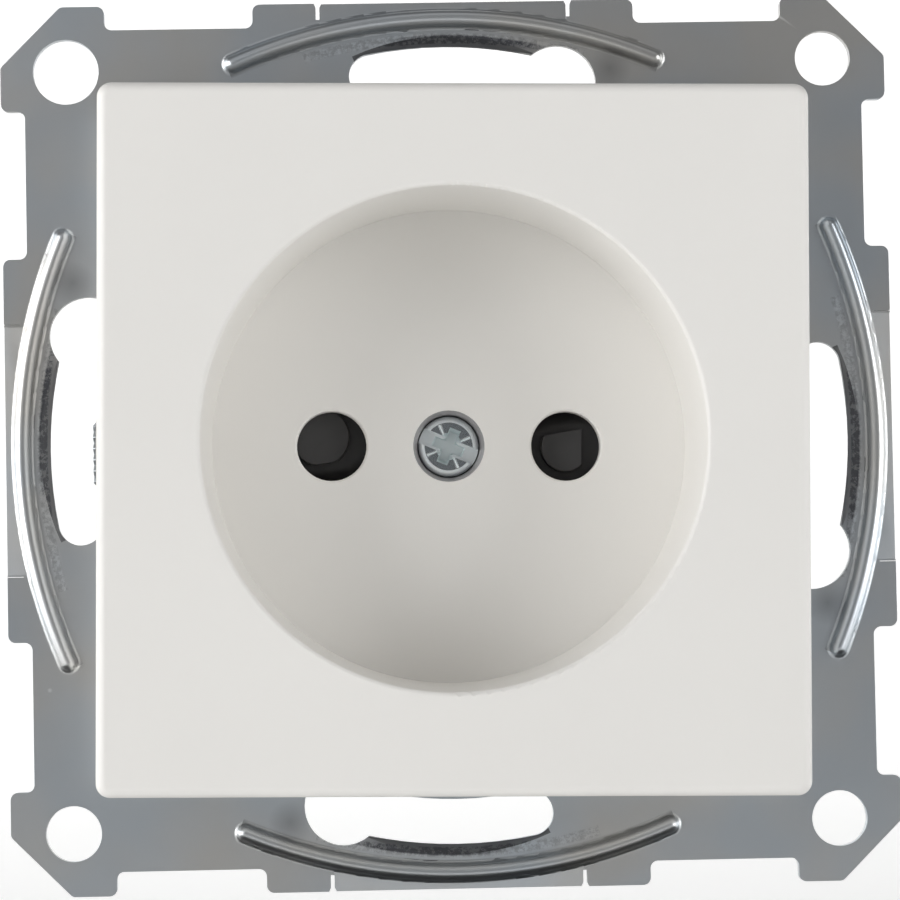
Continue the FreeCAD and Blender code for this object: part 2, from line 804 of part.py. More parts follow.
def base_housing():
    body = square(base_half, base_corner_radius, 0, base_rear)
    rear_edges = [edge for edge in body.Edges if edge.BoundBox.YMin > base_rear - running_gap]
    body = body.makeFillet(base_rear_rounding, rear_edges)
    body = body.fuse([claw_wedge(), mirrored(claw_wedge())])
    cuts = [post(base_opening_radius, -past, contact_cover_rear)]
    half = key_width / 2 + key_play
    for turn in key_turns:
        groove = block(-half, half, -past, contact_cover_rear, 0, key_reach + part_gap)
        cuts.append(spun(groove, turn))
    for space in contact_spaces():
        cuts.append(space)
        cuts.append(mirrored(space))
    for x, z in four_corners:
        cuts.append(post(rivet_radius + running_gap, -past, rivet_length + rivet_end_play,
                         x * rivet_place, z * rivet_place))
    for side in (-1, 1):
        x = side * claw_screw_place
        cuts.append(post(claw_screw_head_radius + claw_head_clearance, -past, claw_seat_depth, x))
        cuts.append(post(claw_screw_radius + claw_shank_clearance, claw_seat_depth - lap,
                         wedge_end + past, x))
    cuts.append(post(cover_screw_radius + part_gap, contact_cover_rear - past, base_rear + past))
    cuts.append(square(centre_nut_half + part_gap / 2, nut_corner_radius, nut_seat, base_rear + past))
    for cut in cuts:
        body = body.cut(cut)
    return body.removeSplitter()


def contact():
    # Right-hand contact: a split sleeve on a rear plate that runs down to the terminal foot
    outer = sleeve_inner_radius + strip
    before = contact_front - past
    sleeve = post(outer, contact_front, contact_rear)
    sleeve = sleeve.cut(post(sleeve_inner_radius, before, contact_rear - strip))
    sleeve = sleeve.cut(taper(sleeve_inner_radius + 2 * sleeve_flare, sleeve_inner_radius,
                              contact_front - 2 * sleeve_flare, contact_front + 2 * sleeve_flare))
    half = sleeve_split / 2
    sleeve = sleeve.cut(block(-half, half, before, contact_rear - 2 * strip, -outer - past, outer + past))
    web = block(-web_width / 2, web_width / 2, contact_rear - strip, contact_rear, terminal_foot_bottom, 0)
    foot = block(-terminal_foot_half, terminal_foot_half, terminal_screw_y - clamp_half, contact_rear,
                 terminal_foot_bottom, terminal_foot_top)
    body = sleeve.fuse([web, foot]).removeSplitter()
    hole = upright(terminal_screw_radius + running_gap, terminal_foot_bottom - past, terminal_foot_top + past,
                   0, terminal_screw_y)
    return body.cut(hole).translated(Vector(pin_place, 0, 0))


def contact_spring():
    # Open steel clip that squeezes the sleeve's two halves together
    inner = sleeve_inner_radius + strip + running_gap
    outer = inner + clip_strip
    start = contact_front + clip_start
    end = start + clip_length
    half_open = clip_open_angle / 2
    clip = ring_sector(inner, outer, start, end, half_open, 180)
    clip = clip.fuse(ring_sector(inner, outer, start, end, 180, 360 - half_open))
    return clip.removeSplitter().translated(Vector(pin_place, 0, 0))


def terminal_screw():
    screw = machine_screw(terminal_head_radius, terminal_head_height, terminal_screw_radius,
                          terminal_screw_length, 0)
    screw = screw.rotated(origin, Vector(1, 0, 0), 90)
    return screw.translated(Vector(pin_place, terminal_screw_y, clamp_bottom))


def clamp_plate():
    # Square plate under the screw's head, with a lip each side that keeps the wires in
    half = clamp_half
    inner = half - clamp_lip_thickness
    body = block(-half, half, -half, half, clamp_bottom, clamp_top)
    for start, end in ((-half, -inner), (inner, half)):
        body = body.fuse(block(start, end, -half, half, clamp_top, clamp_top + clamp_lip))
    hole = upright(terminal_screw_radius + running_gap, clamp_bottom - past, clamp_top + past)
    return body.cut(hole).removeSplitter().translated(Vector(pin_place, terminal_screw_y, 0))


def claw_screw():
    screw = machine_screw(claw_screw_head_radius, claw_screw_head_height, claw_screw_radius,
                          claw_screw_length, 90)
    return screw.translated(Vector(claw_screw_place, claw_seat_depth, 0))


def claw_nut():
    half = claw_nut_length / 2
    body = block(claw_nut_inner, claw_nut_inner + claw_nut_width, claw_pivot_y - half, claw_pivot_y + half,
                 -claw_nut_half_height, claw_nut_half_height)
    reach = claw_nut_half_height + claw_cheek_gap + claw_cheek_thickness
    pins = upright(trunnion_radius, -reach, reach, claw_pivot_x, claw_pivot_y)
    bore = post(claw_screw_radius + running_gap, claw_pivot_y - claw_nut_length,
                claw_pivot_y + claw_nut_length, claw_screw_place)
    return body.fuse(pins).cut(bore).removeSplitter()


def claw_web(length, shoulder, wide):
    # Toothed web of the lever, which tapers from the cheeks to the tip
    half = claw_sheet / 2
    tip = claw_tip_width / 2
    pitch = claw_tip_width / claw_tooth_count
    outline = [(-claw_web_start, -wide), (-claw_web_start, wide), (-shoulder, wide), (-length, tip)]
    for tooth in range(claw_tooth_count):
        top = tip - tooth * pitch
        outline.append((claw_tooth_depth - length, top - pitch / 2))
        outline.append((-length, top - pitch))
    outline.append((-shoulder, -wide))
    corners = [Vector(-half, y, z) for y, z in outline]
    return Part.Face(Part.makePolygon(corners + corners[:1])).extrude(Vector(claw_sheet, 0, 0))


def claw():
    # Forked lever, drawn with its pivot at the origin and its arm towards the viewer, then turned outwards
    half = claw_sheet / 2
    cheek_inner = claw_nut_half_height + claw_cheek_gap
    cheek_outer = cheek_inner + claw_cheek_thickness
    dx = claw_tip_x - claw_pivot_x
    dy = claw_pivot_y - claw_tip_y
    shoulder = claw_web_start + claw_shoulder
    profile = [(-claw_cheek_radius, 0), (-claw_cheek_radius, -claw_web_start * claw_neck_share),
               (-half, -shoulder), (half, -shoulder), (half, -claw_web_start), (claw_cheek_radius, 0)]
    body = claw_web(math.hypot(dx, dy), shoulder, cheek_outer)
    for low, high in ((-cheek_outer, -cheek_inner), (cheek_inner, cheek_outer)):
        body = body.fuse([side_profile(profile, low, high), upright(claw_cheek_radius, low, high)])
    body = body.cut(upright(trunnion_radius + running_gap, -cheek_outer - past, cheek_outer + past))
    body = body.removeSplitter().rotated(origin, upward, math.degrees(math.atan2(dx, dy)))
    return body.translated(Vector(claw_pivot_x, claw_pivot_y, 0))


def save(name, shape):
    shape.exportStep("parts/" + name + ".step")
    print(name, shape.isValid(), len(shape.Solids), round(shape.Volume, 1))


def save_pair(name, shape):
    # The piece as drawn for the right-hand side, and its mirror image for the left
    save(name + "_right", shape)
    save(name + "_left", mirrored(shape))


os.makedirs("parts", exist_ok=True)
save("support_frame", support_frame())
save("frame_rivets", frame_rivets())
save("base_housing", base_housing())
save("contact_cover", contact_cover())
save("centre_nut", centre_nut())
save("cover_plate", spun(cover_plate(), cover_twist))
save("cover_screw", spun(cover_screw(), cover_twist))
save("shutter", spun(shutter(), cover_twist))
save("shutter_spring", spun(shutter_spring(), cover_twist))
save("shutter_guide", spun(shutter_guide(), cover_twist))
save_pair("contact", contact())
save_pair("contact_spring", contact_spring())
save_pair("terminal_screw", terminal_screw())
save_pair("clamp_plate", clamp_plate())
save_pair("claw_screw", claw_screw())
save_pair("claw_nut", claw_nut())
save_pair("claw", claw())
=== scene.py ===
import bpy
import json
import math
from mathutils import Matrix, Vector

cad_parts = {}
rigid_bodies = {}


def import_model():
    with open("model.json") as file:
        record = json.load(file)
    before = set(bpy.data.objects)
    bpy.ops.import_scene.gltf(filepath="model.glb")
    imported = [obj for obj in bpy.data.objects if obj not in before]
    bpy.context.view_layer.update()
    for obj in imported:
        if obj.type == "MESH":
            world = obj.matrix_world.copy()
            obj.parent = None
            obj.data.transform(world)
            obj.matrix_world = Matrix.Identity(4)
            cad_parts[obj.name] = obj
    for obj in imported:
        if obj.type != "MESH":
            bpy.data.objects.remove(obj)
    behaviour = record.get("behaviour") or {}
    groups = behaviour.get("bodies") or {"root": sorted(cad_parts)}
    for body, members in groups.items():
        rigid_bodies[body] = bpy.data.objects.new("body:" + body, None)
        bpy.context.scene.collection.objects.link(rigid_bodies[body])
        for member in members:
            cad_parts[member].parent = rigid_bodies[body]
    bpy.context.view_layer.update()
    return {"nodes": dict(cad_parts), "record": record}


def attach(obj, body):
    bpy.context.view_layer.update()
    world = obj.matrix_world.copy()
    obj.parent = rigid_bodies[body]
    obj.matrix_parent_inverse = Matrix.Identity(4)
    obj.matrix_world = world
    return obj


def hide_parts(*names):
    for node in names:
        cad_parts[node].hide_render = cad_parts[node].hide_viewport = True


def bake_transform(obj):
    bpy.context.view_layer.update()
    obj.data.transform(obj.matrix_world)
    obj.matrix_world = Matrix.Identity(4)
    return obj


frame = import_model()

mm = 0.001
scene = bpy.context.scene
scene.view_settings.view_transform = "Standard"
scene.view_settings.look = "None"

# Camera: a long lens a little left of and below the middle, as in the photo. Place in mm, turn in degrees.
cameraSetup = {
    "place": (-8.35, -278.25, -11.43), "turn": (92.249, 1.092, -1.665), "lens": 139.67, "nearest": 10.0}
bpy.ops.object.select_all(action="DESELECT")
bpy.ops.object.camera_add(
    location=[value * mm for value in cameraSetup["place"]],
    rotation=[math.radians(value) for value in cameraSetup["turn"]])
camera = bpy.context.object
camera.name = "photoCamera"
camera.data.lens = cameraSetup["lens"]
camera.data.clip_start = cameraSetup["nearest"] * mm
scene.camera = camera
print("camera placed")


def linear(hexColour):
    # sRGB hex to linear RGBA
    values = [int(hexColour[i:i + 2], 16) / 255 for i in (1, 3, 5)]
    return [v / 12.92 if v <= 0.04045 else ((v + 0.055) / 1.055) ** 2.4 for v in values] + [1.0]


def perMetre(millimetres):
    # Texture scale that repeats a feature at a real size
    return 1.0 / (millimetres * mm)


def addNode(tree, kind, settings=None, inputs=None):
    # Settings are the node's own, and stops are a colour ramp's. An input, found by its name or its place,
    # is a socket to link or a value.
    node = tree.nodes.new(kind)
    for name, value in (settings or {}).items():
        if name != "stops":
            setattr(node, name, value)
            continue
        elements = node.color_ramp.elements
        while len(elements) < len(value):
            elements.new(0.5)
        for element, (position, colour) in zip(elements, value):
            element.position = position
            element.color = colour
    for name, value in (inputs or {}).items():
        if isinstance(value, bpy.types.NodeSocket):
            tree.links.new(value, node.inputs[name])
        else:
            node.inputs[name].default_value = value
    return node


def newMaterial(name):
    # Empty material with its tree and the object's own coordinates
    material = bpy.data.materials.new(name)
    material.use_nodes = True
    tree = material.node_tree
    tree.nodes.clear()
    return material, tree, addNode(tree, "ShaderNodeTexCoord").outputs["Object"]


def finishMaterial(tree, inputs):
    # The shader with all that goes into it, and the material's output
    shader = addNode(tree, "ShaderNodeBsdfPrincipled", {}, inputs)
    addNode(tree, "ShaderNodeOutputMaterial", {}, {"Surface": shader.outputs["BSDF"]})


def roundPlace(tree, place):
    # X, Y (the depth), Z and the distance from the axis of the socket
    axes = addNode(tree, "ShaderNodeSeparateXYZ", {}, {"Vector": place}).outputs
    flat = addNode(tree, "ShaderNodeCombineXYZ", {}, {"X": axes["X"], "Y": axes["Z"]}).outputs["Vector"]
    radius = addNode(tree, "ShaderNodeVectorMath", {"operation": "LENGTH"}, {"Vector": flat}).outputs["Value"]
    return axes["X"], axes["Y"], axes["Z"], radius


def bandMask(tree, source, band, unit=1.0, within=1.0):
    # 1 where the source lies in the band of start, end and softness, and where the mask within is 1
    start, end, soft = [value * unit for value in band]
    for edge, rise in ((start, soft), (end, -soft)):
        side = addNode(tree, "ShaderNodeMapRange", {}, {
            "Value": source, "From Min": edge - rise, "From Max": edge + rise}).outputs["Result"]
        within = addNode(tree, "ShaderNodeMath", {"operation": "MULTIPLY"}, {
            0: side, 1: within}).outputs["Value"]
    return within


def paintedWellShade(tree, place, look, tint):
    # Painted shade: the screw well's wall is painted grey for the shade that falls deep in the well
    x, depth, z, radius = roundPlace(tree, place)
    narrow = addNode(tree, "ShaderNodeMath", {"operation": "LESS_THAN"}, {
        0: radius, 1: look["wellRadius"] * mm}).outputs["Value"]
    deep = addNode(tree, "ShaderNodeMath", {"operation": "GREATER_THAN"}, {
        0: depth, 1: look["wellStart"] * mm}).outputs["Value"]
    wall = addNode(tree, "ShaderNodeMath", {"operation": "MULTIPLY"}, {0: narrow, 1: deep}).outputs["Value"]
    return addNode(tree, "ShaderNodeMix", {"data_type": "RGBA"}, {
        "Factor": wall, 6: tint, 7: linear(look["well"])}).outputs[2]


def mouldedPlastic(name, look):
    # Injection-moulded thermoplastic: one even colour, faint flow mottling, and a satin gloss over fine grain
    material, tree, place = newMaterial(name)
    flow = addNode(tree, "ShaderNodeTexNoise", {}, {
        "Vector": place, "Scale": perMetre(look["flow"]), "Detail": 3.0}).outputs["Fac"]
    tint = addNode(tree, "ShaderNodeValToRGB", {
        "stops": [(0.35, linear(look["shade"])), (0.65, linear(look["colour"]))]}, {
        "Fac": flow}).outputs["Color"]
    # Painted shade on the cover's screw well
    if "well" in look:
        tint = paintedWellShade(tree, place, look, tint)
    gloss = addNode(tree, "ShaderNodeMapRange", {}, {
        "Value": flow, "From Min": 0.3, "From Max": 0.7,
        "To Min": look["roughness"] - look["roughnessSpread"],
        "To Max": look["roughness"] + look["roughnessSpread"]}).outputs["Result"]
    # The grain is drawn coarser than the real 0.03 mm, so that it shows
    grain = addNode(tree, "ShaderNodeTexNoise", {}, {
        "Vector": place, "Scale": perMetre(look["grain"]), "Detail": 4.0, "Roughness": 0.6}).outputs["Fac"]
    bump = addNode(tree, "ShaderNodeBump", {}, {
        "Height": grain, "Strength": look["grainStrength"],
        "Distance": look["grainDepth"] * mm}).outputs["Normal"]
    finishMaterial(tree, {"Base Color": tint, "Roughness": gloss, "Normal": bump, "IOR": look["ior"]})
    return material


def rolledThread(tree, place, look, bump):
    # Thread behind the screw's head: one band of the wave for each turn
    wave = addNode(tree, "ShaderNodeTexWave", {"bands_direction": "Y"}, {
        "Vector": place, "Scale": 2 * math.pi / (20 * look["pitch"] * mm), "Distortion": 0.0}).outputs["Fac"]
    x, depth, z, radius = roundPlace(tree, place)
    shank = addNode(tree, "ShaderNodeMath", {"operation": "GREATER_THAN"}, {
        0: depth, 1: look["threadStart"] * mm}).outputs["Value"]
    return addNode(tree, "ShaderNodeBump", {}, {
        "Height": wave, "Strength": shank, "Distance": look["threadDepth"] * mm,
        "Normal": bump}).outputs["Normal"]


def screwHead(tree, place, look, colour):
    # Darker, glossier flats, and the cross, the slot and the rounded rim bright and soft
    x, depth, z, radius = roundPlace(tree, place)
    shallow = addNode(tree, "ShaderNodeMath", {"operation": "LESS_THAN"}, {
        0: depth, 1: look["topDepth"] * mm}).outputs["Value"]
    inner = addNode(tree, "ShaderNodeMath", {"operation": "LESS_THAN"}, {
        0: radius, 1: look["flatRadius"] * mm}).outputs["Value"]
    top = addNode(tree, "ShaderNodeMath", {"operation": "MULTIPLY"}, {0: shallow, 1: inner}).outputs["Value"]
    deep = addNode(tree, "ShaderNodeMath", {"operation": "GREATER_THAN"}, {
        0: depth, 1: look["crossDepth"] * mm}).outputs["Value"]
    for mask, tone in ((top, look["flat"]), (deep, look["cross"])):
        colour = addNode(tree, "ShaderNodeMix", {"data_type": "RGBA"}, {
            "Factor": mask, 6: colour, 7: linear(tone)}).outputs[2]
    rough = addNode(tree, "ShaderNodeMapRange", {}, {
        "Value": top, "To Min": look["recessRoughness"], "To Max": look["roughness"]}).outputs["Result"]
    return colour, rough


def platedMetal(name, look):
    # Sheet or turned metal, most of it under zinc: patchy gloss, rolling marks and fine scratches
    material, tree, place = newMaterial(name)
    cloud = addNode(tree, "ShaderNodeTexNoise", {}, {
        "Vector": place, "Scale": perMetre(look["cloud"]), "Detail": 5.0, "Roughness": 0.6}).outputs["Fac"]
    colour = addNode(tree, "ShaderNodeValToRGB", {
        "stops": [(0.3, linear(look["shade"])), (0.7, linear(look["colour"]))]}, {
        "Fac": cloud}).outputs["Color"]
    stretched = addNode(tree, "ShaderNodeMapping", {}, {
        "Vector": place, "Scale": look["grainStretch"]}).outputs["Vector"]
    lines = addNode(tree, "ShaderNodeTexNoise", {}, {
        "Vector": stretched, "Scale": perMetre(look["grain"]), "Detail": 6.0,
        "Roughness": 0.7}).outputs["Fac"]
    bump = addNode(tree, "ShaderNodeBump", {}, {
        "Height": lines, "Strength": look["grainStrength"],
        "Distance": look["grainDepth"] * mm}).outputs["Normal"]
    if "pitch" in look:
        bump = rolledThread(tree, place, look, bump)
    if "flat" in look:
        colour, rough = screwHead(tree, place, look, colour)
    else:
        gloss = addNode(tree, "ShaderNodeMix", {"data_type": "FLOAT"}, {
            "Factor": 0.5, "A": cloud, "B": lines}).outputs["Result"]
        rough = addNode(tree, "ShaderNodeMapRange", {}, {
            "Value": gloss, "From Min": 0.3, "From Max": 0.7,
            "To Min": look["roughness"] - look["roughnessSpread"],
            "To Max": look["roughness"] + look["roughnessSpread"]}).outputs["Result"]
    finishMaterial(tree, {"Base Color": colour, "Roughness": rough, "Normal": bump, "Metallic": 1.0})
    return material


def ridgePlace(tree, place, look):
    # The distance across the nearest ridge from the middle of its back, and the slope along it from its peak
    mirrored = addNode(tree, "ShaderNodeVectorMath", {"operation": "ABSOLUTE"}, {
        "Vector": place}).outputs["Vector"]
    sides = addNode(tree, "ShaderNodeSeparateXYZ", {}, {"Vector": mirrored}).outputs
    wide = addNode(tree, "ShaderNodeMath", {"operation": "MAXIMUM"}, {
        0: sides["X"], 1: sides["Z"]}).outputs["Value"]
    near = addNode(tree, "ShaderNodeMath", {"operation": "MINIMUM"}, {
        0: sides["X"], 1: sides["Z"]}).outputs["Value"]
    far = addNode(tree, "ShaderNodeMath", {"operation": "ADD"}, {
        0: wide, 1: look["arcBack"] * mm}).outputs["Value"]
    arm = addNode(tree, "ShaderNodeCombineXYZ", {}, {"X": far, "Y": near}).outputs["Vector"]
    reach = addNode(tree, "ShaderNodeVectorMath", {"operation": "LENGTH"}, {"Vector": arm}).outputs["Value"]
    across = addNode(tree, "ShaderNodeMath", {"operation": "SUBTRACT"}, {
        0: reach, 1: look["arcRadius"] * mm}).outputs["Value"]
    along = addNode(tree, "ShaderNodeMath", {"operation": "DIVIDE"}, {0: near, 1: far}).outputs["Value"]
    return across, along


def ridgeMasks(tree, place, look):
    # The ridges' inner flanks, where a dark reflection is painted, and the rubbed strips between slot and
    # ridge
    across, along = ridgePlace(tree, place, look)
    masks = []
    for band, slope in (("flankAcross", "flankSlope"), ("stripAcross", "stripSlope")):
        within = addNode(tree, "ShaderNodeMath", {"operation": "LESS_THAN"}, {
            0: along, 1: look[slope]}).outputs["Value"]
        masks.append(bandMask(tree, across, look[band], mm, within))
    return masks


def slotMasks(tree, place, look):
    # The coined slot edges, and a darker spot beside each lobe
    x, depth, z, radius = roundPlace(tree, place)
    turned = addNode(tree, "ShaderNodeMath", {"operation": "ARCTAN2"}, {0: x, 1: z}).outputs["Value"]
    # Clockwise from the middle of the nearest side
    clockwise = addNode(tree, "ShaderNodeMath", {"operation": "WRAP"}, {
        0: turned, 1: math.pi / 4, 2: -math.pi / 4}).outputs["Value"]
    normal = addNode(tree, "ShaderNodeTexCoord").outputs["Normal"]
    facing = addNode(tree, "ShaderNodeSeparateXYZ", {}, {"Vector": normal}).outputs["Y"]
    inside = addNode(tree, "ShaderNodeMath", {"operation": "LESS_THAN"}, {
        0: radius, 1: look["coinRadius"] * mm}).outputs["Value"]
    slope = bandMask(tree, facing, look["coinFacing"], 1.0, inside)
    byLobe = bandMask(tree, clockwise, look["lobeAngle"], math.radians(1))
    beside = bandMask(tree, radius, look["lobeRadius"], mm, byLobe)
    coined = addNode(tree, "ShaderNodeMath", {"operation": "MAXIMUM"}, {0: slope, 1: beside}).outputs["Value"]
    spotRadius = look["spotRadius"] * mm
    outward = addNode(tree, "ShaderNodeMath", {"operation": "SUBTRACT"}, {
        0: radius, 1: spotRadius}).outputs["Value"]
    onward = addNode(tree, "ShaderNodeMath", {"operation": "MULTIPLY_ADD"}, {
        0: clockwise, 1: spotRadius, 2: -math.radians(look["spotAngle"]) * spotRadius}).outputs["Value"]
    offset = addNode(tree, "ShaderNodeCombineXYZ", {}, {"X": outward, "Y": onward}).outputs["Vector"]
    away = addNode(tree, "ShaderNodeVectorMath", {"operation": "LENGTH"}, {"Vector": offset}).outputs["Value"]
    return coined, bandMask(tree, away, look["spotReach"], mm)


def galvanisedSheet(name, look):
    # Hot-dip galvanised and cold-pressed sheet: pale spangle clouds, a slightly wavy mirror, darker and
    # duller coined slot edges, darker spots beside the lobes, darker rubbed strips, a painted dark reflection
    # on the ridges' inner flanks and bright specks where the zinc is nicked
    material, tree, place = newMaterial(name)
    paintedFlankReflection, strip = ridgeMasks(tree, place, look)
    coined, spot = slotMasks(tree, place, look)
    cloud = addNode(tree, "ShaderNodeTexNoise", {}, {
        "Vector": place, "Scale": perMetre(look["cloud"]), "Detail": 2.0, "Roughness": 0.5}).outputs["Fac"]
    colour = addNode(tree, "ShaderNodeValToRGB", {
        "stops": [(0.36, linear(look["cool"])), (0.5, linear(look["plain"])),
                  (0.64, linear(look["warm"]))]}, {
        "Fac": cloud}).outputs["Color"]
    speckle = addNode(tree, "ShaderNodeTexNoise", {}, {
        "Vector": place, "Scale": perMetre(look["speckle"]), "Detail": 4.0, "Roughness": 0.8}).outputs["Fac"]
    worn = bandMask(tree, speckle, look["wornBand"], 1.0, strip)
    # Darkening of the coined edges, the spots and the rubbed strips, and the painted dark reflection on the
    # ridges' inner flanks
    dark = 0.0
    for mask, shade in ((coined, "coinShade"), (paintedFlankReflection, "flankPaintedReflection"), (spot, "spotShade"),
                        (worn, "stripShade")):
        dark = addNode(tree, "ShaderNodeMath", {"operation": "MULTIPLY_ADD"}, {
            0: mask, 1: look[shade], 2: dark}).outputs["Value"]
    cell = addNode(tree, "ShaderNodeTexVoronoi", {}, {
        "Vector": place, "Scale": perMetre(look["nickSpacing"])}).outputs["Distance"]
    nick = bandMask(tree, cell, look["nickBand"])
    for mask, tone in ((dark, look["darkMarksAndPaintedReflection"]), (nick, look["bareZinc"])):
        colour = addNode(tree, "ShaderNodeMix", {"data_type": "RGBA"}, {
            "Factor": mask, 6: colour, 7: linear(tone)}).outputs[2]
    rough = look["roughness"]
    for mask, more in ((cloud, look["roughnessSpread"]), (coined, look["coinRoughness"])):
        rough = addNode(tree, "ShaderNodeMath", {"operation": "MULTIPLY_ADD"}, {
            0: mask, 1: more, 2: rough}).outputs["Value"]
    wave = addNode(tree, "ShaderNodeTexNoise", {}, {
        "Vector": place, "Scale": perMetre(look["wave"]), "Detail": 2.0}).outputs["Fac"]
    grain = addNode(tree, "ShaderNodeTexNoise", {}, {
        "Vector": place, "Scale": perMetre(look["grain"]), "Detail": 5.0, "Roughness": 0.7}).outputs["Fac"]
    bump = {}
    for height, strength, depth in ((wave, look["waveStrength"], look["waveDepth"]),
                                    (grain, look["grainStrength"], look["grainDepth"]),
                                    (speckle, strip, look["stripDepth"])):
        bump.update({"Height": height, "Strength": strength, "Distance": depth * mm})
        bump["Normal"] = addNode(tree, "ShaderNodeBump", {}, bump).outputs["Normal"]
    finishMaterial(tree, {
        "Base Color": colour, "Roughness": rough, "Normal": bump["Normal"], "Metallic": 1.0})
    return material


# Lengths in mm and angles in degrees. Flow, cloud and grain are the size of one patch or line.
plasticLooks = {
    # Resin from a finely eroded tool: a clean, warm white with a wide soft sheen
    "satinWhiteThermoplastic": {
        "colour": "#F3F1ED", "shade": "#F1EFEB", "roughness": 0.42, "roughnessSpread": 0.03, "ior": 1.53,
        "flow": 30.0, "grain": 0.12, "grainStrength": 0.25, "grainDepth": 0.01,
        # The well colour is painted shade on the screw well's wall
        "well": "#A5A4A6", "wellRadius": 2.95, "wellStart": 4.6},
    # Filled polyamide: near black, with a dull grey light on what faces out
    "blackShutterPolyamide": {
        "colour": "#3F3E3E", "shade": "#393838", "roughness": 0.42, "roughnessSpread": 0.03, "ior": 1.53,
        "flow": 6.0, "grain": 0.15, "grainStrength": 0.3, "grainDepth": 0.01},
    # Flame-retardant polycarbonate: a flat light grey, plainer and duller than the cover
    "greyBasePolycarbonate": {
        "colour": "#C9CBCA", "shade": "#BFC1C0", "roughness": 0.5, "roughnessSpread": 0.03, "ior": 1.53,
        "flow": 20.0, "grain": 0.2, "grainStrength": 0.35, "grainDepth": 0.02},
    # The same in dark grey, which sets the disc off from the base
    "darkGreyCoverPolycarbonate": {
        "colour": "#7B7E80", "shade": "#727577", "roughness": 0.5, "roughnessSpread": 0.03, "ior": 1.53,
        "flow": 15.0, "grain": 0.2, "grainStrength": 0.35, "grainDepth": 0.02}}

metalLooks = {
    # Electroplated zinc with a blue passivate: bright, cool and evenly soft
    "blueZincPlate": {
        "colour": "#DAE2E4", "shade": "#C6D0D3", "cloud": 1.5, "grain": 0.15, "grainStretch": (1.0, 1.0, 1.0),
        "roughness": 0.28, "roughnessSpread": 0.08, "grainStrength": 0.15, "grainDepth": 0.01},
    # Steel pressed after plating: greyer, with drag lines along the pull
    "pressedZincSteel": {
        "colour": "#BFC3C6", "shade": "#A6ABAF", "cloud": 3.0, "grain": 0.3, "grainStretch": (1.0, 1.0, 3.0),
        "roughness": 0.36, "roughnessSpread": 0.08, "grainStrength": 0.2, "grainDepth": 0.02},
    # Cold-drawn spring wire and strip: darker steel with a tight shine
    "drawnSpringSteel": {
        "colour": "#A9ACB0", "shade": "#8E9196", "cloud": 1.0, "grain": 0.1, "grainStretch": (1.0, 4.0, 1.0),
        "roughness": 0.28, "roughnessSpread": 0.05, "grainStrength": 0.1, "grainDepth": 0.005},
    # Rolled brass strip: warm yellow with faint rolling lines
    "rolledBrassStrip": {
        "colour": "#D9B36A", "shade": "#C79D55", "cloud": 3.0, "grain": 0.2, "grainStretch": (1.0, 6.0, 1.0),
        "roughness": 0.3, "roughnessSpread": 0.06, "grainStrength": 0.12, "grainDepth": 0.01},
    # The cover screw's head: the same zinc, bright in its recess and at its rim, with darker, glossier flats
    "bluePassivatedScrew": {
        "colour": "#F5F9FA", "shade": "#E9F0F2", "cloud": 1.5, "grain": 0.15, "grainStretch": (1.0, 1.0, 1.0),
        "roughness": 0.24, "recessRoughness": 0.5, "grainStrength": 0.08, "grainDepth": 0.01,
        "topDepth": 5.38, "flatRadius": 1.95, "flat": "#BFC6CA", "crossDepth": 6.14, "cross": "#DEE7E8"}}

# The claw screws: the same zinc over a rolled thread, which gives the shank its fine dark rings
metalLooks["threadedZincPlate"] = dict(
    metalLooks["blueZincPlate"], pitch=0.45, threadStart=2.0, threadDepth=0.2)

# The frame's sheet. Each band is its start, its end and how soft its ends are. The grain, which takes the
# mirror off the zinc, is drawn coarser than the real 0.05 mm, so that it shows.
sheetLook = {
    # The dark colour darkens the coined edges, the spots and the rubbed strips, and is painted as a dark
    # reflection on the ridges' inner flanks
    "cool": "#CFD6DC", "plain": "#D3D6D8", "warm": "#D4D3D0", "darkMarksAndPaintedReflection": "#55565A", "bareZinc": "#F2F4F5",
    "cloud": 12.0, "wave": 2.2, "waveStrength": 0.6, "waveDepth": 0.02,
    "grain": 0.3, "grainStrength": 0.12, "grainDepth": 0.02,
    "speckle": 0.5, "stripDepth": 0.05, "wornBand": (0.5, 1.0, 0.06),
    "nickSpacing": 7.0, "nickBand": (-1.0, 0.025, 0.01),
    "roughness": 0.3, "roughnessSpread": 0.08, "coinRoughness": 0.15,
    "arcBack": 9.05, "arcRadius": 43.0,
    # Painted dark reflection on the ridges' inner flanks
    "flankAcross": (-0.9, -0.32, 0.12), "flankSlope": 0.44, "flankPaintedReflection": 0.5,
    "stripAcross": (-1.9, -1.15, 0.08), "stripSlope": 0.28, "stripShade": 0.35,
    "coinRadius": 33.1, "coinFacing": (-0.92, -0.4, 0.02), "coinShade": 0.85,
    "lobeRadius": (31.0, 32.65, 0.08), "lobeAngle": (-5.0, 14.0, 4.0),
    "spotRadius": 32.6, "spotAngle": 24.0, "spotReach": (-9000.0, 0.9, 0.9), "spotShade": 0.4}

materials = {"galvanisedSheetSteel": galvanisedSheet("galvanisedSheetSteel", sheetLook)}
for name, look in plasticLooks.items():
    materials[name] = mouldedPlastic(name, look)
for name, look in metalLooks.items():
    materials[name] = platedMetal(name, look)
print("materials made")


def activate(piece):
    # Makes it the only selected object and the one that operators act on
    bpy.ops.object.select_all(action="DESELECT")
    piece.select_set(True)
    bpy.context.view_layer.objects.active = piece


def bodyOf(node):
    for body, nodes in frame["record"]["behaviour"]["bodies"].items():
        if node in nodes:
            return body
    return "socket"


# How the copies of the nodes are cleaned and finished: lengths in mm, angles in degrees
copySetup = {"doubles": 0.0002, "flatAngle": 0.2, "edgeSegments": 2}


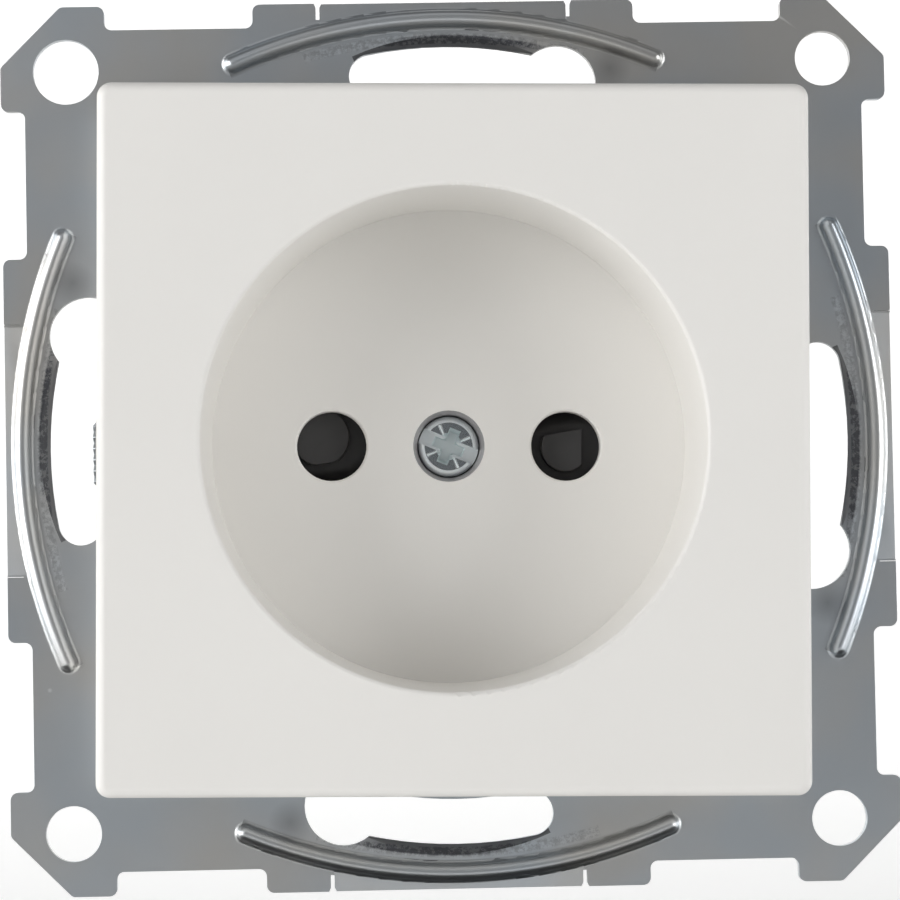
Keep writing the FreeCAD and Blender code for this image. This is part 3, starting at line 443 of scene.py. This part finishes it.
def mergedCopy(node, name):
    # Copy of a CAD node with its doubles merged and its flat faces joined
    piece = bpy.data.objects.new(name, frame["nodes"][node].data.copy())
    scene.collection.objects.link(piece)
    activate(piece)
    bpy.ops.object.mode_set(mode="EDIT")
    bpy.ops.mesh.select_all(action="SELECT")
    bpy.ops.mesh.remove_doubles(threshold=copySetup["doubles"] * mm)
    bpy.ops.mesh.dissolve_limited(angle_limit=math.radians(copySetup["flatAngle"]))
    bpy.ops.object.mode_set(mode="OBJECT")
    return piece


def breakEdges(piece, width, sharp):
    # Small worn radius on every sharp edge, then smooth shading that keeps the flats flat
    activate(piece)
    bevel = piece.modifiers.new("brokenEdges", "BEVEL")
    bevel.width = width * mm
    bevel.segments = copySetup["edgeSegments"]
    bevel.limit_method = "ANGLE"
    bevel.angle_limit = math.radians(sharp)
    bevel.use_clamp_overlap = True
    bevel.miter_outer = "MITER_SHARP"
    bpy.ops.object.modifier_apply(modifier=bevel.name)
    bpy.ops.object.shade_smooth_by_angle(angle=math.radians(sharp))
    flats = piece.modifiers.new("flatFaces", "WEIGHTED_NORMAL")
    flats.keep_sharp = True
    bpy.ops.object.modifier_apply(modifier=flats.name)


# Each node's material, the width of its broken edges in mm, and the angle in degrees that counts as an edge
finishes = {
    "cover_plate": ("satinWhiteThermoplastic", 0.08, 28),
    "support_frame": ("galvanisedSheetSteel", 0.05, 36),
    "frame_rivets": ("blueZincPlate", 0.08, 28),
    "base_housing": ("greyBasePolycarbonate", 0.15, 28),
    "contact_cover": ("darkGreyCoverPolycarbonate", 0.1, 28),
    "centre_nut": ("blueZincPlate", 0.08, 28),
    "cover_screw": ("bluePassivatedScrew", 0.04, 28),
    "shutter": ("blackShutterPolyamide", 0.06, 28),
    "shutter_guide": ("blackShutterPolyamide", 0.06, 28),
    "contact": ("rolledBrassStrip", 0.06, 28),
    "contact_spring": ("drawnSpringSteel", 0.04, 28),
    "shutter_spring": ("drawnSpringSteel", 0.0, 28),
    "terminal_screw": ("blueZincPlate", 0.05, 28),
    "clamp_plate": ("blueZincPlate", 0.08, 28),
    "claw_screw": ("threadedZincPlate", 0.05, 28),
    "claw_nut": ("pressedZincSteel", 0.08, 28),
    "claw": ("pressedZincSteel", 0.06, 28)}


def finishOf(node):
    # Left and right share one row
    return finishes[node] if node in finishes else finishes[node.rsplit("_", 1)[0]]


# The cover screw is turned on a little, to the angle it stands at in the photo
screwTurn = math.radians(7.0)

# Shutter spring: its wire, its coil, its front and rear ends and the tip of its rear leg, in mm and degrees
springSetup = {
    "radius": 0.225, "coil": 5.349, "turn": 0.97, "front": 10.4, "rear": 11.975, "tip": 13.2,
    "rounding": 0.08, "roundingSteps": 3, "sides": 24}


def addSpringLeg(spring, setup):
    # The rear leg, which stands in the guide's hole: a rod drawn out of the wire's end, with a rounded tip
    turn = math.radians(setup["turn"])
    place = (-setup["coil"] * math.cos(turn) * mm, setup["rear"] * mm, setup["coil"] * math.sin(turn) * mm)
    activate(spring)
    bpy.ops.object.mode_set(mode="EDIT")
    bpy.ops.mesh.select_mode(type="FACE")
    bpy.ops.mesh.select_all(action="DESELECT")
    bpy.ops.mesh.primitive_circle_add(
        vertices=setup["sides"], radius=setup["radius"] * mm, fill_type="NGON", location=place,
        rotation=(math.pi / 2, 0, 0))
    bpy.ops.mesh.extrude_region_move(
        TRANSFORM_OT_translate={"value": (0, (setup["tip"] - setup["rear"]) * mm, 0)})
    bpy.ops.mesh.bevel(offset=setup["rounding"] * mm, segments=setup["roundingSteps"])
    bpy.ops.mesh.select_linked()
    bpy.ops.mesh.normals_make_consistent(inside=False)
    bpy.ops.object.mode_set(mode="OBJECT")


for node in list(frame["nodes"]):
    materialName, width, sharp = finishOf(node)
    piece = mergedCopy(node, "finished_" + node)
    if node == "cover_screw":
        piece.data.transform(Matrix.Rotation(screwTurn, 4, "Y"))
    if node == "shutter_spring":
        addSpringLeg(piece, springSetup)
    piece.data.materials.clear()
    piece.data.materials.append(materials[materialName])
    if width > 0:
        breakEdges(piece, width, sharp)
    else:
        bpy.ops.object.shade_smooth_by_angle(angle=math.radians(sharp))
    if node == "shutter_spring":
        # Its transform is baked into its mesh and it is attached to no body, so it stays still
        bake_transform(piece)
    else:
        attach(piece, bodyOf(node))
    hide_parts(node)
    print("finished", node, len(piece.data.polygons))


# The four pressed ridges, with a finer surface than the frame's own facets. Sizes in mm, angles in degrees.
ridgeSetup = {
    "peak": 33.95, "arcRadius": 43.0, "halfAngle": 23.0, "width": 1.9, "height": 0.85, "foot": 0.3,
    "sheet": 1.0, "lift": 0.03, "sink": 0.3, "along": 96, "crownSteps": 20, "footSteps": 6, "endSteps": 24,
    "doubles": 0.002, "tolerance": 0.001, "sharp": 40.0}


def ridgeProfile(setup):
    # Points (across, up) from the inner foot over the crown to the outer foot
    half, height, foot = setup["width"] / 2, setup["height"], setup["foot"]
    radius = (half * half + height * height) / (2 * height) - foot
    lean = math.atan2(half, foot - height + radius)
    side = []
    for step in range(setup["footSteps"]):
        angle = lean * step / setup["footSteps"]
        side.append((half - foot * math.sin(angle), foot - foot * math.cos(angle)))
    crown = []
    for step in range(setup["crownSteps"] + 1):
        angle = lean * (2 * step / setup["crownSteps"] - 1)
        crown.append((radius * math.sin(angle), height - radius + radius * math.cos(angle)))
    return [(-across, up) for across, up in side] + crown + list(reversed(side))


def drawProfile(points):
    # One vertex, drawn out from point to point
    bpy.ops.object.select_all(action="DESELECT")
    bpy.ops.mesh.primitive_plane_add(size=mm, location=(0, 0, 0))
    bpy.ops.object.mode_set(mode="EDIT")
    bpy.ops.mesh.select_mode(type="VERT")
    bpy.ops.mesh.select_all(action="SELECT")
    bpy.ops.mesh.merge(type="CENTER")
    bpy.ops.transform.translate(value=points[0])
    for before, after in zip(points, points[1:]):
        bpy.ops.mesh.extrude_region_move(TRANSFORM_OT_translate={"value": after - before})
    return bpy.context.object


def selectOuterHalf(ridge, setup, centre, end, outward):
    # The vertices of one end section that lie outside the middle line of the ridge
    bpy.ops.mesh.select_all(action="DESELECT")
    bpy.ops.object.mode_set(mode="OBJECT")
    for vertex in ridge.data.vertices:
        fromEnd = vertex.co - end
        fromCentre = vertex.co - centre
        fromEnd.y = fromCentre.y = 0
        vertex.select = (abs(fromEnd.dot(outward)) < setup["tolerance"] * mm
                         and fromEnd.length < setup["width"] * mm
                         and fromCentre.length > (setup["arcRadius"] - setup["tolerance"]) * mm)
    bpy.ops.object.mode_set(mode="EDIT")


def buildRidge(setup):
    # The profile spun along the arc, half of it spun round each end, and the foot closed inside the sheet
    centre = Vector((0, 0, (setup["peak"] - setup["arcRadius"]) * mm))
    top = setup["sheet"] + setup["lift"]
    sweepAngle = math.radians(setup["halfAngle"])
    points = []
    for across, up in ridgeProfile(setup):
        radial = (setup["arcRadius"] + across) * mm
        points.append(centre + Vector((-radial * math.sin(sweepAngle), -(top + up) * mm,
                                       radial * math.cos(sweepAngle))))
    ridge = drawProfile(points)
    bpy.ops.mesh.select_all(action="SELECT")
    bpy.ops.mesh.spin(steps=setup["along"], angle=-2 * sweepAngle, center=centre, axis=(0, 1, 0))
    for sign in (-1, 1):
        lean = sign * sweepAngle
        end = centre + Vector((math.sin(lean), 0, math.cos(lean))) * setup["arcRadius"] * mm
        outward = Vector((math.cos(lean), 0, -math.sin(lean))) * sign
        selectOuterHalf(ridge, setup, centre, end, outward)
        bpy.ops.mesh.spin(steps=setup["endSteps"], angle=-sign * math.pi, center=end, axis=(0, 1, 0))
    bpy.ops.mesh.select_all(action="SELECT")
    bpy.ops.mesh.remove_doubles(threshold=setup["doubles"] * mm)
    bpy.ops.mesh.select_all(action="DESELECT")
    bpy.ops.mesh.select_non_manifold(extend=False)
    bpy.ops.mesh.extrude_region_move(TRANSFORM_OT_translate={"value": (0, setup["sink"] * mm, 0)})
    bpy.ops.mesh.edge_face_add()
    bpy.ops.mesh.select_all(action="SELECT")
    bpy.ops.mesh.normals_make_consistent(inside=False)
    bpy.ops.object.mode_set(mode="OBJECT")
    bpy.ops.object.shade_smooth_by_angle(angle=math.radians(setup["sharp"]))
    ridge.data.materials.append(materials["galvanisedSheetSteel"])
    return ridge


ridge = buildRidge(ridgeSetup)
print("ridge built", len(ridge.data.vertices), len(ridge.data.polygons))
for turn in (0, 90, 180, 270):
    placed = ridge
    if turn:
        placed = ridge.copy()
        placed.data = ridge.data.copy()
        scene.collection.objects.link(placed)
        activate(placed)
        placed.rotation_euler = (0, math.radians(turn), 0)
        bpy.ops.object.transform_apply(location=False, rotation=True, scale=False)
    placed.name = "pressedRidge%d" % turn
    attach(placed, "socket")


# Plain pale floor that sweeps up into a backdrop behind the object. Places in metres.
stageSetup = {
    "floor": -0.16, "back": 0.7, "front": -1.6, "half": 1.6, "height": 1.2, "sweep": 0.25, "sweepSteps": 16,
    "tolerance": 0.001, "paper": "#F4F4F3", "roughness": 0.9, "glow": "#FFFFFF",
    "glowStart": -0.16, "glowEnd": -0.05, "glowLow": 0.08, "glowHigh": 0.45}


def selectBackEdges(sweep, setup, highest):
    # The edges along the back, up to a height
    bpy.ops.mesh.select_all(action="DESELECT")
    bpy.ops.object.mode_set(mode="OBJECT")
    for edge in sweep.data.edges:
        ends = [sweep.data.vertices[i].co for i in edge.vertices]
        edge.select = all(end.y > setup["back"] - setup["tolerance"]
                          and end.z < highest + setup["tolerance"] for end in ends)
    bpy.ops.object.mode_set(mode="EDIT")


def buildStage(setup):
    # A plane, its back edge drawn up, and the fold between them rounded
    bpy.ops.object.select_all(action="DESELECT")
    bpy.ops.mesh.primitive_plane_add(size=1.0, location=(0, 0, 0))
    sweep = bpy.context.object
    sweep.name = "paperSweep"
    sweep.dimensions = (2 * setup["half"], setup["back"] - setup["front"], 0)
    sweep.location = (0, (setup["back"] + setup["front"]) / 2, setup["floor"])
    bpy.ops.object.transform_apply(location=True, rotation=False, scale=True)
    bpy.ops.object.mode_set(mode="EDIT")
    bpy.ops.mesh.select_mode(type="EDGE")
    selectBackEdges(sweep, setup, setup["floor"])
    bpy.ops.mesh.extrude_region_move(TRANSFORM_OT_translate={"value": (0, 0, setup["height"])})
    selectBackEdges(sweep, setup, setup["floor"])
    bpy.ops.mesh.bevel(offset=setup["sweep"], segments=setup["sweepSteps"])
    bpy.ops.object.mode_set(mode="OBJECT")
    bpy.ops.object.shade_smooth()
    return sweep


def mattPaper(setup):
    # Matt white paper, which glows behind the object only, so the floor throws little light up at it
    material, tree, place = newMaterial("mattWhitePaper")
    height = addNode(tree, "ShaderNodeSeparateXYZ", {}, {"Vector": place}).outputs["Z"]
    glow = addNode(tree, "ShaderNodeMapRange", {}, {
        "Value": height, "From Min": setup["glowStart"], "From Max": setup["glowEnd"],
        "To Min": setup["glowLow"], "To Max": setup["glowHigh"]}).outputs["Result"]
    finishMaterial(tree, {"Base Color": linear(setup["paper"]), "Roughness": setup["roughness"],
                          "Emission Color": linear(setup["glow"]), "Emission Strength": glow})
    return material


paper = mattPaper(stageSetup)
buildStage(stageSetup).data.materials.append(paper)

# Soft studio light: place in metres, size, watts. Each one looks at the object.
lights = {
    "leftSoftbox": {"place": (-0.86, -0.58, 0.12), "size": (0.6, 0.7), "watts": 5.8},
    "rightSoftbox": {"place": (0.83, -0.62, 0.0), "size": (0.4, 0.7), "watts": 4.4},
    "topSoftbox": {"place": (0.05, -0.6, 0.85), "size": (1.0, 0.5), "watts": 0.5},
    "leftFill": {"place": (-0.36, -0.95, 0.36), "size": (0.5, 0.5), "watts": 0.4},
    "rightFill": {"place": (0.4, -0.95, 0.2), "size": (0.5, 0.5), "watts": 0.08},
    "rightPanel": {"place": (0.6, 0.0, -0.12), "size": (0.28, 0.45), "watts": 1.0},
    "leftPanel": {"place": (-0.6, 0.0, 0.0), "size": (0.28, 0.6), "watts": 1.6}}
for name, setup in lights.items():
    bpy.ops.object.select_all(action="DESELECT")
    bpy.ops.object.light_add(type="AREA", location=setup["place"])
    lamp = bpy.context.object
    lamp.name = name
    lamp.data.shape = "RECTANGLE"
    lamp.data.size, lamp.data.size_y = setup["size"]
    lamp.data.energy = setup["watts"]
    lamp.rotation_euler = (-Vector(setup["place"])).to_track_quat("-Z", "Y").to_euler()

# Black card below the object, which keeps the floor's light off its lower sides. It throws no shadow.
cardSetup = {"place": (0, 0, -0.13), "size": (0.5, 0.3), "colour": "#1A1A1A", "roughness": 0.9}
bpy.ops.object.select_all(action="DESELECT")
bpy.ops.mesh.primitive_plane_add(size=1.0, location=cardSetup["place"])
card = bpy.context.object
card.name = "blackCard"
card.scale = (cardSetup["size"][0], cardSetup["size"][1], 1)
bpy.ops.object.transform_apply(location=True, rotation=False, scale=True)
card.visible_camera = False
card.visible_diffuse = False
card.visible_shadow = False
cardMaterial, cardTree, cardPlace = newMaterial("mattBlackCard")
finishMaterial(cardTree, {"Base Color": linear(cardSetup["colour"]), "Roughness": cardSetup["roughness"]})
card.data.materials.append(cardMaterial)

worldSetup = {"colour": "#F2F3F5", "strength": 0.14}
world = bpy.data.worlds.new("studioAir")
world.use_nodes = True
world.node_tree.nodes["Background"].inputs["Color"].default_value = linear(worldSetup["colour"])
world.node_tree.nodes["Background"].inputs["Strength"].default_value = worldSetup["strength"]
scene.world = world
print("stage and lights placed")
